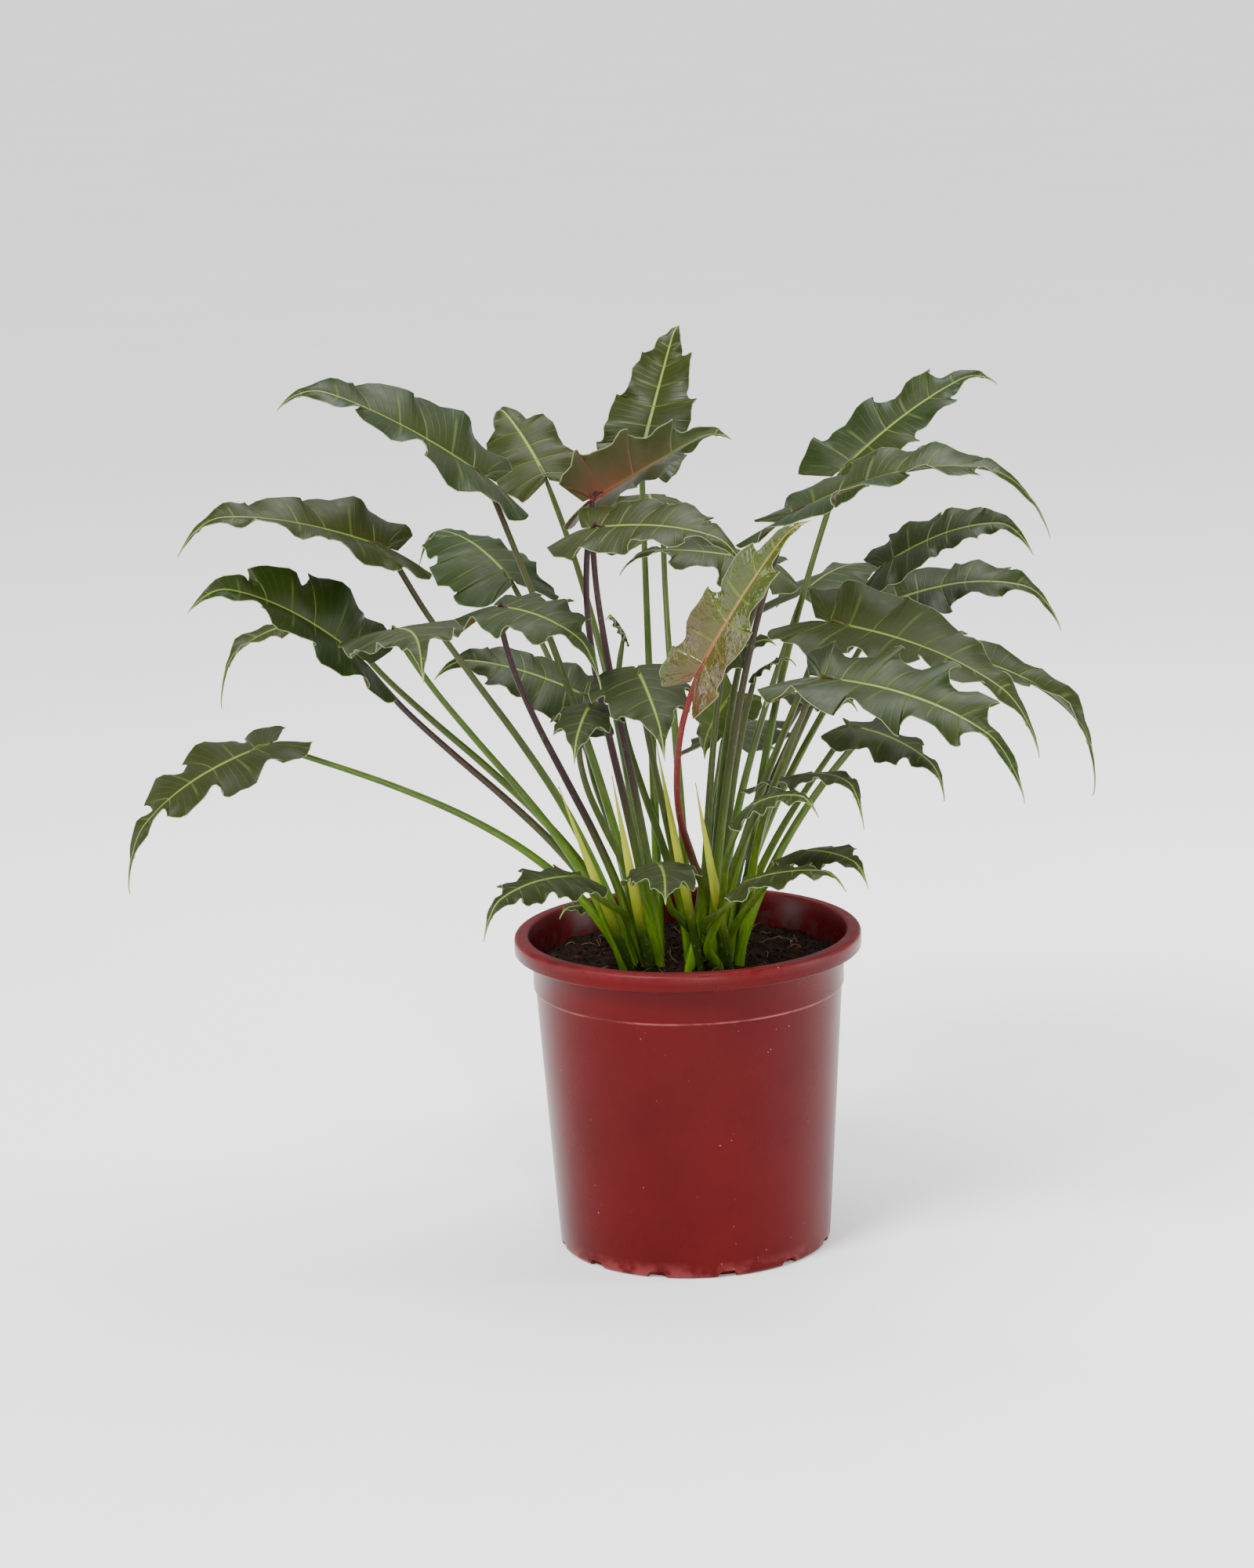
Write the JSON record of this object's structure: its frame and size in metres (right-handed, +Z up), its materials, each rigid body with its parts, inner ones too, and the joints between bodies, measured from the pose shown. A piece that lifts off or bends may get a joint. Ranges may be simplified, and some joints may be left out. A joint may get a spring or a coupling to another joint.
{
  "type": "potted philodendron xanadu",
  "caption": "Philodendron xanadu: a clump of lobed, waved leaves on long stalks in a dark red plastic nursery pot.",
  "frame": {"origin": "the middle of the pot's flat base, on the surface that it stands on", "axes": "+Z up the pot's axis, -Y towards the viewer of the picture, +X to that viewer's right"},
  "size_m": [0.6557, 0.5408, 0.6205],
  "materials": {
    "pot_plastic": "moulded, glossy, dusty at the rim",
    "potting_mix": "rough crumbs and bark",
    "leaf_green": "waxy, satin",
    "crown_stem": "matt",
    "sheath_straw": "dry, papery"
  },
  "bodies": {
    "root": {"crown_left": "crown_stem", "crown_right": "crown_stem", "leaf_back_left": "leaf_green", "leaf_back_lit": "leaf_green", "leaf_back_low": "leaf_green", "leaf_back_middle": "leaf_green", "leaf_back_right": "leaf_green", "leaf_centre_dark": "leaf_green", "leaf_centre_hanging": "leaf_green", "leaf_centre_small": "leaf_green", "leaf_centre_tiny": "leaf_green", "leaf_crown_folded": "leaf_green", "leaf_crown_front": "leaf_green", "leaf_crown_rear": "leaf_green", "leaf_crown_tall": "leaf_green", "leaf_left_broad": "leaf_green", "leaf_left_drooping": "leaf_green", "leaf_left_front": "leaf_green", "leaf_left_high": "leaf_green", "leaf_left_high_rear": "leaf_green", "leaf_left_low": "leaf_green", "leaf_left_mid": "leaf_green", "leaf_low_front": "leaf_green", "leaf_low_left": "leaf_green", "leaf_low_right": "leaf_green", "leaf_low_right_bent": "leaf_green", "leaf_low_right_broad": "leaf_green", "leaf_low_right_small": "leaf_green", "leaf_low_tiny": "leaf_green", "leaf_mid_front": "leaf_green", "leaf_mid_left_front": "leaf_green", "leaf_mid_left_rear": "leaf_green", "leaf_mid_small": "leaf_green", "leaf_right_far": "leaf_green", "leaf_right_front": "leaf_green", "leaf_right_front_low": "leaf_green", "leaf_right_high": "leaf_green", "leaf_right_long": "leaf_green", "leaf_right_rear": "leaf_green", "leaf_right_third": "leaf_green", "leaf_right_under": "leaf_green", "leaf_shoot_small": "leaf_green", "leaf_young": "leaf_green", "pot": "pot_plastic", "sheath_left": "sheath_straw", "sheath_mid_left": "sheath_straw", "sheath_mid_right": "sheath_straw", "sheath_right": "sheath_straw", "soil": "potting_mix"}
  },
  "joints": []
}
